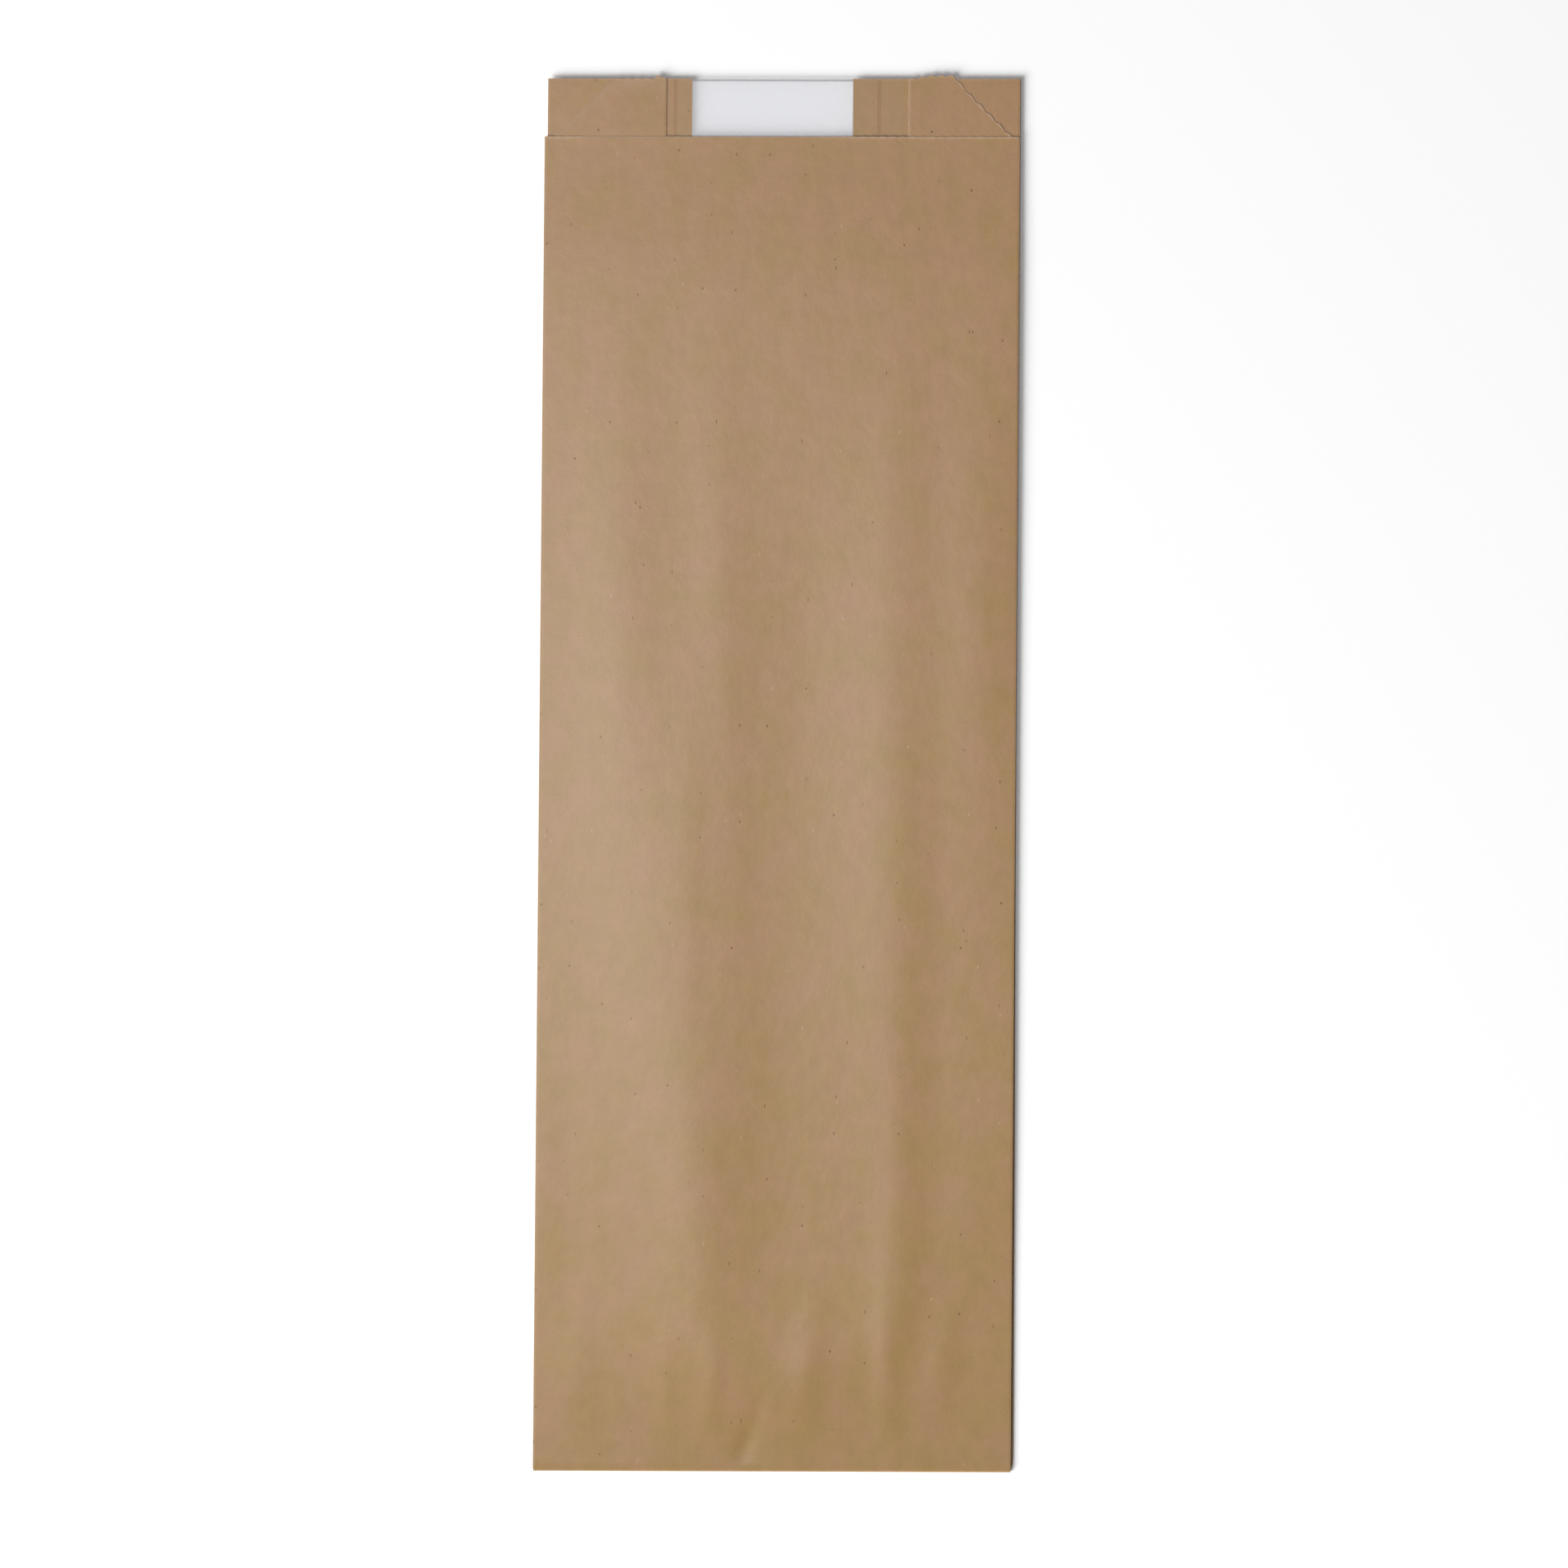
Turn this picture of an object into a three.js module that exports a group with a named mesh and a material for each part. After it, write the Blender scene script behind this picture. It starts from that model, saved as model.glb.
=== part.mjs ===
// A flat, empty paper bakery bag with a see-through strip, lying on its front with its back up.
//
// One web of kraft paper is folded into a gusseted tube. It starts at one edge of the window, runs out along
// the front, in and out again through a side gusset, across the back, through the other gusset, and back
// along the front to the window's other edge. A strip of clear film is glued inside the front and closes the
// tube. At the mouth the front and the gussets stand past the back. At the bottom the back wraps round under
// the front, as a flap.
//
// Millimetres. +X runs across the bag, +Y along it towards the mouth, +Z up. The origin is under its centre.
import * as THREE from 'three';

// Driving dimensions.
const BAG_WIDTH = 160; // across the back, side fold to side fold
const BAG_LENGTH = 470; // bottom fold to the tip of the mouth
const LIP = 19.5; // how far the front stands past the back at the mouth
const TIP = 1; // how far a gusset's highest point stands past the front at the mouth
const LEFT_TIP = { from: -43.2, at: -42.2, to: -39.2 }; // across: where the left gusset's cut has a spike
const RIGHT_TIP = { middle: 53.5, spread: 7 }; // across: the low, flat hump of the right gusset's cut
const PAPER = 0.2; // thickness of the paper
const LAYER_STEP = 0.4; // between the middles of two layers joined by a fold
const FRONT_INSET = 1; // how far the front's left side fold lies inside the back's
const GUSSET_DEPTH = { left: 41, right: 37.6 }; // side edge to inner fold
const DIAGONAL_START = { left: 3.6, right: 2.9 }; // side edge to where the gusset's slanting cut begins
const WINDOW = { left: -30.4, right: 23.7 }; // the paper's edges beside the window
const FILM = { left: -36.8, right: 41, thickness: 0.1, above: 0.25 }; // above: from the middle of the front
const FLAP_LENGTH = 19.5; // of the back that is folded under the front at the bottom
const FLAP_STEP = 0.35; // by which the front is raised where it lies on the flap
const FLAP_CLEAR = 1; // how far past the flap the front begins to come down
const FLAP_EASE = 60; // and how much further it takes to reach the ground
const MOUTH_LIFT = 1.6; // how far the mouth's end bows up off the ground
const LIFT_FROM = 260; // along from the bottom fold to where the bow begins
const LIFT_TO = 460; // and where it ends

// How the bag puffs up between its flat ends. The side folds stand a little open, and soft ridges (height
// over 0) and valleys (under 0) run along the back. y is along from the bottom fold, across and along are how
// far each one spreads, and turn is how many degrees its long axis leans to the left.
const SIDE_SPREAD = 0.65; // how far the side folds stand apart, above their closed height
const DOME = 0.12; // in the middle, above the side folds
const SWELLS = [
  { x: -34, y: 155, across: 25, along: 150, height: 0.8, turn: 6 }, // the broad ridge on the left
  { x: -55, y: 320, across: 12, along: 80, height: 0.32, turn: 0 }, // its shoulder near the left edge
  { x: -20, y: 310, across: 9, along: 120, height: 0.24, turn: 2 }, // its crest towards the mouth
  { x: -25.5, y: 80, across: 12, along: 45, height: 0.34, turn: 3 }, // its lower end
  { x: 9, y: 280, across: 12, along: 75, height: -0.18, turn: 0 }, // the valley between the ridges
  { x: 40, y: 215, across: 13.5, along: 165, height: 0.41, turn: 0 }, // the ridge on the right
  { x: 42, y: 60, across: 7, along: 70, height: 0.2, turn: 1 }, // its sharper lower end
  { x: 71, y: 320, across: 17, along: 115, height: 0.8, turn: 0 }, // the swelling near the right edge
];
const RISE_MIDDLE = 35; // along from the bottom fold to the full height, in the middle of the bag
const RISE_EXTRA = 90; // and how much further it takes at the side folds
const FALL_FROM = 260; // where the height begins to drop towards the mouth
const FALL_TO = 448; // and where it has dropped
const LEFT_AT_MOUTH = 0.08; // share of the height that is left there

// The mesh: stations across the bag, and along it.
const ACROSS_LEFT = [-76.4, -70, -63, -56.9, -50, -43.2, -42.2];
const ACROSS_MIDDLE = [-30.4, -24, -17, -10, -3, 4, 11, 17.5, 23.7, 28, 33.2, 37];
const ACROSS_RIGHT = [46, 50, 53.5, 57.6, 63, 70, 77.1];
const ALONG = [10, 20.5, 31, 48, 70, 98, 128, 158, 190, 222, 254, 286, 318, 348, 376, 402, 424, 440];
const MOUTH_STEPS = 3; // from the last of ALONG to the cut edge
const FOLD_STEPS = 2; // round each fold along the bag
const WRAP_STEPS = 4; // round the bottom fold

const HALF = BAG_WIDTH / 2;
const FOLD_RADIUS = LAYER_STEP / 2;
const STACK = 3 * LAYER_STEP; // four layers, closed
const FRONT_END = BAG_LENGTH - TIP;
const BACK_END = FRONT_END - LIP;
const WRAP_RADIUS = (FLAP_STEP + STACK) / 2;

const clamp01 = (t) => Math.min(1, Math.max(0, t));
const mix = (a, b, t) => a + (b - a) * t;

function smoothstep(from, to, value) {
  const t = clamp01((value - from) / (to - from));
  return t * t * (3 - 2 * t);
}

// The middle of the front layer: raised where the bottom flap lies under it, then on the ground, and bowed up
// at the mouth.
function frontHeight(along) {
  const downFrom = FLAP_LENGTH + FLAP_CLEAR;
  const onFlap = FLAP_STEP * (1 - smoothstep(downFrom, downFrom + FLAP_EASE, along));
  return PAPER / 2 + onFlap + MOUTH_LIFT * smoothstep(LIFT_FROM, LIFT_TO, along);
}

function swellHeight(swell, x, along) {
  const lean = THREE.MathUtils.degToRad(swell.turn);
  const dx = x - swell.x;
  const dy = along - swell.y;
  const right = (dx * Math.cos(lean) + dy * Math.sin(lean)) / swell.across;
  const up = (dy * Math.cos(lean) - dx * Math.sin(lean)) / swell.along;
  return swell.height * Math.exp(-(right ** 2) - up ** 2);
}

// How much higher than a closed stack of four layers the bag stands at a point.
function freePlay(x, along) {
  const reach = (x / HALF) ** 2; // 0 in the middle, 1 at the side folds
  let height = DOME * (1 - reach);
  for (const swell of SWELLS) height += swellHeight(swell, x, along) * (1 - reach ** 2);
  const rise = smoothstep(0, RISE_MIDDLE + RISE_EXTRA * reach, along);
  const fall = mix(1, LEFT_AT_MOUTH, smoothstep(FALL_FROM, FALL_TO, along));
  return rise * fall * (SIDE_SPREAD + Math.max(0, height));
}

// The four layers, from the ground up. outer says which way the face that is outside on an open bag looks,
// and level gives the height of the layer's middle. share runs from 0 at the side edge to 1 at the gusset's
// inner fold.
const LAYERS = {
  front: { outer: -1, level: (x, along) => frontHeight(along) },
  gussetFront: {
    outer: 1,
    level: (x, along, share) => frontHeight(along) + LAYER_STEP + (share / 2) * freePlay(x, along),
  },
  gussetBack: {
    outer: -1,
    level: (x, along, share) => frontHeight(along) + 2 * LAYER_STEP + (1 - share / 2) * freePlay(x, along),
  },
  back: { outer: 1, level: (x, along) => frontHeight(along) + STACK + freePlay(x, along) },
};

// How far a gusset's back half stands past the front at the mouth: in a spike beside its inner fold on the
// left, and in a low, flat hump beside its slanting cut on the right.
function gussetTip(x) {
  if (x > 0) return TIP * Math.exp(-(((x - RIGHT_TIP.middle) / RIGHT_TIP.spread) ** 4));
  const climb = smoothstep(LEFT_TIP.from, LEFT_TIP.at, x);
  return TIP * climb * (1 - smoothstep(LEFT_TIP.at, LEFT_TIP.to, x));
}

// Where a layer is cut at the mouth. A gusset's back half is cut slantwise, up from the back's edge.
function mouthEnd(layer, x) {
  if (layer === 'back') return BACK_END;
  if (layer !== 'gussetBack') return FRONT_END;
  const start = x < 0 ? DIAGONAL_START.left : DIAGONAL_START.right;
  const climb = clamp01((HALF - Math.abs(x) - start) / LIP);
  return mix(BACK_END, FRONT_END + gussetTip(x), climb);
}

// A column of the web that lies in a flat layer.
function flatColumn(layer, x, fromSide = 0, depth = 1) {
  const { outer, level } = LAYERS[layer];
  const share = clamp01(fromSide / depth);
  return {
    x,
    wraps: layer === 'back',
    end: mouthEnd(layer, x),
    at: (along) => ({ x, z: level(x, along, share), outX: 0, outZ: outer }),
  };
}

// The columns round a fold between two flat columns, one over the other. bulge is the way it points along X,
// and outward is 1 where the paper's outer face is on the outside of the fold.
function foldColumns(lower, upper, bulge, outward) {
  const columns = [];
  for (let step = 1; step < FOLD_STEPS; step++) {
    const angle = Math.PI * (step / FOLD_STEPS - 0.5);
    const outX = bulge * Math.cos(angle);
    const outZ = Math.sin(angle);
    columns.push({
      x: lower.x,
      wraps: false,
      end: mix(lower.end, upper.end, step / FOLD_STEPS),
      at: (along) => ({
        x: lower.x + FOLD_RADIUS * outX,
        z: (lower.at(along).z + upper.at(along).z) / 2 + FOLD_RADIUS * outZ,
        outX: outX * outward,
        outZ: outZ * outward,
      }),
    });
  }
  return columns;
}

// Half the web, from the window's edge to the fold at the edge of the back.
function halfWeb(name) {
  const side = name === 'left' ? -1 : 1;
  const depth = GUSSET_DEPTH[name];
  const between = name === 'left' ? ACROSS_LEFT : [...ACROSS_RIGHT].reverse(); // from the side edge inwards
  const frontFold = side * (HALF - (name === 'left' ? FRONT_INSET : 0) - PAPER / 2 - FOLD_RADIUS);
  const backFold = side * (HALF - PAPER / 2 - FOLD_RADIUS);
  const innerFold = side * (HALF - depth + FOLD_RADIUS);
  const strip = [WINDOW[name], side * (HALF - depth), ...[...between].reverse(), frontFold];
  const fromSide = (x) => HALF - Math.abs(x);
  const gusset = (layer, xs) =>
    xs.map((x) => {
      const atSide = Math.abs(x) >= Math.abs(frontFold);
      return flatColumn(layer, x, atSide ? 0 : fromSide(x), fromSide(innerFold));
    });

  const front = strip.map((x) => flatColumn('front', x));
  const inwards = gusset('gussetFront', [frontFold, ...between, innerFold]);
  const outwards = gusset('gussetBack', [innerFold, ...[...between].reverse(), backFold]);
  const backEdge = flatColumn('back', backFold);
  return [
    ...front,
    ...foldColumns(front.at(-1), inwards[0], side, 1),
    ...inwards,
    ...foldColumns(inwards.at(-1), outwards[0], -side, -1),
    ...outwards,
    ...foldColumns(outwards.at(-1), backEdge, side, 1),
  ];
}

function backColumns() {
  const edge = HALF - PAPER / 2 - FOLD_RADIUS;
  const overFolds = { left: GUSSET_DEPTH.left - HALF, right: HALF - GUSSET_DEPTH.right };
  const leftHalf = [-edge, ...ACROSS_LEFT, overFolds.left];
  const rightHalf = [overFolds.right, ...ACROSS_RIGHT, edge];
  return [...leftHalf, ...ACROSS_MIDDLE, ...rightHalf].map((x) => flatColumn('back', x));
}

// Rows along the web. flap rows lie under the front, wrap rows turn round the bottom fold, and body rows run
// from there to the cut edge of each column.
function flapRows() {
  const rows = [{ part: 'flap', along: FLAP_LENGTH }, { part: 'flap', along: FLAP_LENGTH / 2 }];
  for (let step = 0; step < WRAP_STEPS; step++) {
    rows.push({ part: 'wrap', angle: Math.PI * (step / WRAP_STEPS - 0.5) });
  }
  return rows;
}

function bodyRows(start) {
  const rows = [start, ...ALONG].map((along) => ({ part: 'body', along: () => along }));
  for (let step = 1; step <= MOUTH_STEPS; step++) {
    rows.push({ part: 'body', along: (column) => mix(ALONG.at(-1), column.end, step / MOUTH_STEPS) });
  }
  return rows;
}

// A point on one face of a sheet: face is 1 on its outer face and -1 on its inner one.
function facePoint(column, row, face, thickness) {
  const out = (face * thickness) / 2;
  if (row.part === 'flap') return [column.x, row.along - BAG_LENGTH / 2, PAPER / 2 - out];
  if (row.part === 'wrap') {
    const radius = WRAP_RADIUS + out;
    const y = WRAP_RADIUS + PAPER / 2 - radius * Math.cos(row.angle);
    return [column.x, y - BAG_LENGTH / 2, PAPER / 2 + WRAP_RADIUS + radius * Math.sin(row.angle)];
  }
  const along = row.along(column);
  const middle = column.at(along);
  return [middle.x + out * middle.outX, along - BAG_LENGTH / 2, middle.z + out * middle.outZ];
}

// A closed sheet of even thickness over a grid of columns and rows, with a wall wherever a cell has no
// neighbour.
function sheetGeometry(columns, rows, thickness) {
  const covered = (i, j) => {
    if (i < 0 || j < 0 || i >= columns.length - 1 || j >= rows.length - 1) return false;
    return rows[j].part === 'body' || (columns[i].wraps && columns[i + 1].wraps);
  };
  const positions = [];
  const quad = (a, b, c, d) => positions.push(...a, ...b, ...c, ...a, ...c, ...d);
  for (let i = 0; i < columns.length - 1; i++) {
    for (let j = 0; j < rows.length - 1; j++) {
      if (!covered(i, j)) continue;
      const corner = (across, up, face) => facePoint(columns[i + across], rows[j + up], face, thickness);
      quad(corner(0, 0, 1), corner(1, 0, 1), corner(1, 1, 1), corner(0, 1, 1));
      quad(corner(0, 0, -1), corner(0, 1, -1), corner(1, 1, -1), corner(1, 0, -1));
      if (!covered(i - 1, j)) quad(corner(0, 0, -1), corner(0, 0, 1), corner(0, 1, 1), corner(0, 1, -1));
      if (!covered(i + 1, j)) quad(corner(1, 0, 1), corner(1, 0, -1), corner(1, 1, -1), corner(1, 1, 1));
      if (!covered(i, j - 1)) quad(corner(0, 0, 1), corner(0, 0, -1), corner(1, 0, -1), corner(1, 0, 1));
      if (!covered(i, j + 1)) quad(corner(0, 1, -1), corner(0, 1, 1), corner(1, 1, 1), corner(1, 1, -1));
    }
  }
  const geometry = new THREE.BufferGeometry();
  geometry.setAttribute('position', new THREE.Float32BufferAttribute(positions, 3));
  geometry.computeVertexNormals();
  return geometry;
}

const BODY_START = WRAP_RADIUS + PAPER / 2; // where the bottom fold ends and the flat layers begin

function paperBag() {
  const columns = [...halfWeb('left'), ...backColumns(), ...halfWeb('right').reverse()];
  const rows = [...flapRows(), ...bodyRows(BODY_START)];
  const kraft = new THREE.MeshStandardMaterial({ color: 0xa38058, roughness: 0.35, metalness: 0 });
  const mesh = new THREE.Mesh(sheetGeometry(columns, rows, PAPER), kraft);
  mesh.name = 'paper_bag';
  return mesh;
}

function windowFilm() {
  const xs = [FILM.right, ...[...ACROSS_MIDDLE].reverse().filter((x) => x < FILM.right), FILM.left];
  const columns = xs.map((x) => {
    const at = (along) => ({ x, z: frontHeight(along) + FILM.above, outX: 0, outZ: -1 });
    return { x, wraps: false, end: FRONT_END, at };
  });
  const clear = { color: 0xe6e8ec, roughness: 0.12, metalness: 0, transparent: true, opacity: 0.35 };
  const mesh = new THREE.Mesh(
    sheetGeometry(columns, bodyRows(BODY_START), FILM.thickness),
    new THREE.MeshStandardMaterial(clear),
  );
  mesh.name = 'window_film';
  return mesh;
}

const bag = new THREE.Group();
bag.add(paperBag(), windowFilm());

export default bag;
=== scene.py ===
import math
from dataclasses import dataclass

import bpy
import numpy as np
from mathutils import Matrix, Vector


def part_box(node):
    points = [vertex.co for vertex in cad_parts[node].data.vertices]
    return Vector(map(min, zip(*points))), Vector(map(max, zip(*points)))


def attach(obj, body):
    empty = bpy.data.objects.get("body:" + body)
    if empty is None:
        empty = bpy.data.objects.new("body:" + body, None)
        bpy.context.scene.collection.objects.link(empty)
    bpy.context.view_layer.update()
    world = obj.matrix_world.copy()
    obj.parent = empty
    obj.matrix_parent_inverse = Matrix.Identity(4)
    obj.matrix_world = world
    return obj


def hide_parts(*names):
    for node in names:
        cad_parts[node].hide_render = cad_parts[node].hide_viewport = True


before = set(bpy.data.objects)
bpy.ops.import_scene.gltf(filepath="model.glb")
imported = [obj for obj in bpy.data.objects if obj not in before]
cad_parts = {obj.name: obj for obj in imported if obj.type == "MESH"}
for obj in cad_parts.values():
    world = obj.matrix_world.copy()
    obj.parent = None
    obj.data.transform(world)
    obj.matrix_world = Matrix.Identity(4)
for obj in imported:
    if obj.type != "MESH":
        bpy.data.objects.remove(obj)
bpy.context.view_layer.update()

# The looks of a flat kraft paper bakery bag with a clear strip down its front, lying on its front with its
# back up. One folded sheet of paper replaces the plain one, with its soft relief, creases and serrated cut,
# and a glossy film replaces the plain film.
#
# Sizes are in millimetres, and points are turned into metres when a mesh is made. +X runs across the bag,
# and +Y along it towards the mouth. "along" is measured from the bottom fold.

MM = 0.001


bag_low, bag_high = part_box("paper_bag")
film_low, film_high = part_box("window_film")

# ---------------------------------------------------------------- sizes of the bag

BAG_WIDTH = (bag_high.x - bag_low.x) / MM
BAG_LENGTH = (bag_high.y - bag_low.y) / MM
HALF = BAG_WIDTH / 2
PAPER = 0.1  # thickness of the paper
LAYER_STEP = 0.25  # between the middles of two layers joined by a fold
CAD_STACK = 1.2  # the height of four layers, closed, in the plain model
LIP = 19.5  # how far the front stands past the back at the mouth
TIP = 1.0  # how far a gusset's highest point stands past the front
LEFT_TIP = {"from": -43.2, "at": -42.2, "to": -39.2}  # across: the spike of the left gusset's cut
RIGHT_TIP = {"middle": 53.5, "spread": 7.0}  # across: the low, flat hump of the right gusset's cut
FRONT_INSET = {"left": 1.0, "right": 0.0}  # how far the front's side folds lie inside the back's
OVERHANG = 0.8  # how far the front's right side fold stands out past the back's, near the bottom
OVERHANG_FROM = 4.0  # along: where it stands out fully
OVERHANG_TO = 330.0  # and where it no longer does
GUSSET_DEPTH = {"left": 41.0, "right": 37.6}  # side edge to inner fold
DIAGONAL_START = {"left": 3.6, "right": 2.9}  # side edge to the foot of the gusset's slanting cut
WINDOW = {"left": -30.4, "right": 23.7}  # across: the paper's edges beside the window
FLAP_LENGTH = 19.5  # of the back that is folded under the front at the bottom
FLAP_STEP = 0.2  # by which the front is raised where it lies on the flap
FLAP_CLEAR = 1.0  # how far past the flap the front begins to come down
FLAP_EASE = 60.0  # and how much further it takes to reach the ground
MOUTH_LIFT = 1.6  # how far the mouth's end bows up off the ground
LIFT_FROM = 260.0  # along: where the bow begins
LIFT_TO = 460.0  # and where it ends
PRESSED = 0.45  # share of the step between two layers that is left at the mouth
PRESSED_FROM = 400.0  # along: where the layers begin to draw together
PRESSED_TO = 450.0  # and where they have
OFF_SQUARE = {"bottom": 0.26, "mouth": 0.38}  # degrees by which the fold and the cut climb to the right
TAPER = 0.006  # the share by which the bag is wider at its bottom fold than at its mouth

FILM = 0.05  # thickness of the film
FILM_ABOVE = 0.12  # from the middle of the front's paper to the middle of the film
FILM_SHORT = 0.2  # how far the film ends inside the front's cut
GLUE_LINES = {"left": (-36.8, -35.4), "right": (31.8, 33.2)}  # across: where glue shows through the film

SERRATION_PITCH = 3.3  # from tooth to tooth of a cut edge
TEETH = 0.12  # how deep the teeth of the straight cuts are
CURL = 0.7  # a cut edge turns up over this much of its end
FRONT_BURR = 0.02  # how much further the front's cut turns up at a tooth than between two teeth
BURR_BETWEEN = 0.3  # how far a cut turns up between its teeth, as a share of that
BACK_BURR = {"left": 0.1, "middle": -0.015, "right": 0.095}  # as FRONT_BURR, for the back's cut
BACK_BURR_LEFT = (-72.0, -64.0)  # across: where it changes from left to middle
BACK_BURR_RIGHT = (5.0, 30.0)  # and from middle to right
SLANT_BURR = {"left": 0.05, "right": 0.04}  # as FRONT_BURR, for the gussets' slanting cuts
SLANT_TEETH = {"left": 0.4, "right": 0.9}  # how deep the teeth of those cuts are
SLANT_WEAR_AND_HIGHLIGHT = {"left": 0.5, "right": 0.0}  # and how pale the paper is painted along them: partly scuffs, partly a painted highlight

FOLD_RADIUS = LAYER_STEP / 2
STACK = 3 * LAYER_STEP
WRAP_RADIUS = (FLAP_STEP + CAD_STACK) / 2
BODY_START = WRAP_RADIUS + PAPER / 2  # along: where the bottom fold ends and the flat layers begin
FRONT_END = BAG_LENGTH - TIP
BACK_END = FRONT_END - LIP
FILM_END = FRONT_END - FILM_SHORT

# ---------------------------------------------------------------- relief

SIDE_SPREAD = 0.65  # how far the side folds stand apart, above their closed height in the plain model
DOME = 0.12  # how much higher than the side folds the middle stands, apart from the swells


@dataclass
class Swell:
    """A soft ridge (height over 0) or valley (under 0). across and length are how far it spreads, and turn
    is how many degrees its long axis leans to the left of the bag's length."""

    x: float
    along: float
    across: float
    length: float
    height: float
    turn: float = 0.0

    def at(self, x, along):
        lean = math.radians(self.turn)
        right = (x - self.x) * math.cos(lean) + (along - self.along) * math.sin(lean)
        up = (along - self.along) * math.cos(lean) - (x - self.x) * math.sin(lean)
        return self.height * np.exp(-((right / self.across) ** 2) - (up / self.length) ** 2)


# These fade towards the side folds, the bottom fold and the mouth.
SWELLS = [
    Swell(-34, 155, 25, 150, 0.80, 6),  # the broad ridge on the left, over the left gusset's inner fold
    Swell(-55, 320, 12, 80, 0.32),  # its shoulder near the left edge
    Swell(-20, 310, 9, 120, 0.24, 2),  # its crest towards the mouth
    Swell(-30, 230, 7, 60, 0.10),  # the same further down
    Swell(-25.5, 80, 12, 45, 0.34, 3),  # its lower end
    Swell(9, 280, 12, 75, -0.18),  # the valley between the ridges
    Swell(3, 130, 12, 80, -0.10),  # its lower end
    Swell(40, 215, 13.5, 165, 0.41),  # the ridge over the right gusset's inner fold
    Swell(41, 365, 12, 65, 0.20),  # its end towards the mouth
    Swell(42, 60, 7, 70, 0.20, 1),  # its sharper lower end
    Swell(55, 120, 7, 110, -0.08),  # the trough beside it
    Swell(71, 320, 17, 115, 0.80),  # the swelling near the right edge
    Swell(-72, 85, 7, 40, -0.25),  # the flat corner at the left
]
RISE_MIDDLE = 35.0  # along: from the bottom fold to the full height, in the middle of the bag
RISE_EXTRA = 90.0  # and how much further it takes at the side folds
FALL_FROM = 260.0  # along: where the height begins to drop towards the mouth
FALL_TO = 448.0  # and where it has dropped
LEFT_AT_MOUTH = 0.03  # share of the height that is left there

# These reach right to the side folds, and almost to the bottom fold.
CREASES = [
    Swell(-8, 8, 4, 14, -0.34, -22),  # the groove where the bottom fold pinches the back
    Swell(-4.5, 12, 2.5, 15, 0.12, -22),  # its raised right flank
    Swell(-20, 30, 4, 13, 0.16),  # the small folds that run up from the bottom fold, left of the groove
    Swell(-36, 32, 3, 15, 0.10),
    Swell(-66, 34, 7, 15, 0.18),
    Swell(11, 36, 6, 20, 0.22, -8),  # and right of it
    Swell(38, 34, 4.5, 26, 0.18, 2),
    Swell(56, 36, 6, 17, 0.22, -8),
    Swell(-80, 78, 13, 32, 0.18),  # where the side folds stand a little further apart, on the left
    Swell(80, 310, 18, 110, 0.20),  # and on the right
]
CREASE_RISE = 6.0  # along: from the bottom fold to a crease's full height


def smoothstep(start, stop, value):
    t = np.clip((value - start) / (stop - start), 0, 1)
    return t * t * (3 - 2 * t)


def mix(a, b, t):
    return a + (b - a) * t


def front_height(along):
    """The middle of the front layer: raised on the flap, then on the ground, and bowed up at the mouth."""
    down_from = FLAP_LENGTH + FLAP_CLEAR
    on_flap = FLAP_STEP * (1 - smoothstep(down_from, down_from + FLAP_EASE, along))
    return PAPER / 2 + on_flap + MOUTH_LIFT * smoothstep(LIFT_FROM, LIFT_TO, along)


def free_play(x, along):
    """How much higher than a closed stack of layers the bag stands at a point."""
    reach = (x / HALF) ** 2
    height = DOME * (1 - reach)
    for swell in SWELLS:
        height = height + swell.at(x, along) * (1 - reach**2)
    rise = smoothstep(0, RISE_MIDDLE + RISE_EXTRA * reach, along)
    fall = mix(1, LEFT_AT_MOUTH, smoothstep(FALL_FROM, FALL_TO, along))
    play = fall * (CAD_STACK - STACK + rise * (SIDE_SPREAD + height))
    for crease in CREASES:
        play = play + crease.at(x, along) * smoothstep(0, CREASE_RISE, along)
    return np.maximum(play, 0)


# ---------------------------------------------------------------- the columns of the folded sheet

COLUMN_STEP = SERRATION_PITCH / 4
FOLD_STEPS = 6  # round each of the folds that run along the bag


@dataclass
class Column:
    """A line along the web, which is the bag's paper or its film. level counts the closed layers under it,
    and lift is its share of the free play."""

    x: float
    level: float
    lift: float
    outer: tuple  # which way the paper's outer face looks, across and up
    end: float  # where it is cut at the mouth
    fold: tuple = (0.0, 0.0)  # how far a fold's column stands out from between its two layers
    wraps: bool = False  # whether it goes on round the bottom fold
    teeth: float = TEETH  # how deep the teeth of its cut edge are
    burr: float = 0.0  # how much further its cut edge turns up at a tooth than between two teeth
    wear_and_highlight: float = 0.0  # how pale a band along its cut is painted: partly scuffs, partly a painted highlight
    spread: float = 0.0  # its share of the front's overhang


def stations(*marks):
    """Values about one column step apart, with every mark among them."""
    values = [marks[0]]
    for start, stop in zip(marks, marks[1:]):
        count = max(1, round(abs(stop - start) / COLUMN_STEP))
        values += [mix(start, stop, step / count) for step in range(1, count + 1)]
    return values


def fold_columns(lower, upper, bulge, outward):
    """Columns round the fold between two layers. bulge is the way it points, and outward is 1 where the
    paper's outer face is on the outside of the fold, or else -1."""
    columns = []
    for step in range(1, FOLD_STEPS):
        share = step / FOLD_STEPS
        angle = math.pi * (share - 0.5)
        out = (bulge * math.cos(angle), math.sin(angle))
        columns.append(
            Column(
                x=lower.x,
                level=(lower.level + upper.level) / 2,
                lift=(lower.lift + upper.lift) / 2,
                outer=(out[0] * outward, out[1] * outward),
                end=mix(lower.end, upper.end, share),
                fold=(FOLD_RADIUS * out[0], FOLD_RADIUS * out[1]),
                spread=lower.spread,
            )
        )
    return columns


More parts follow.
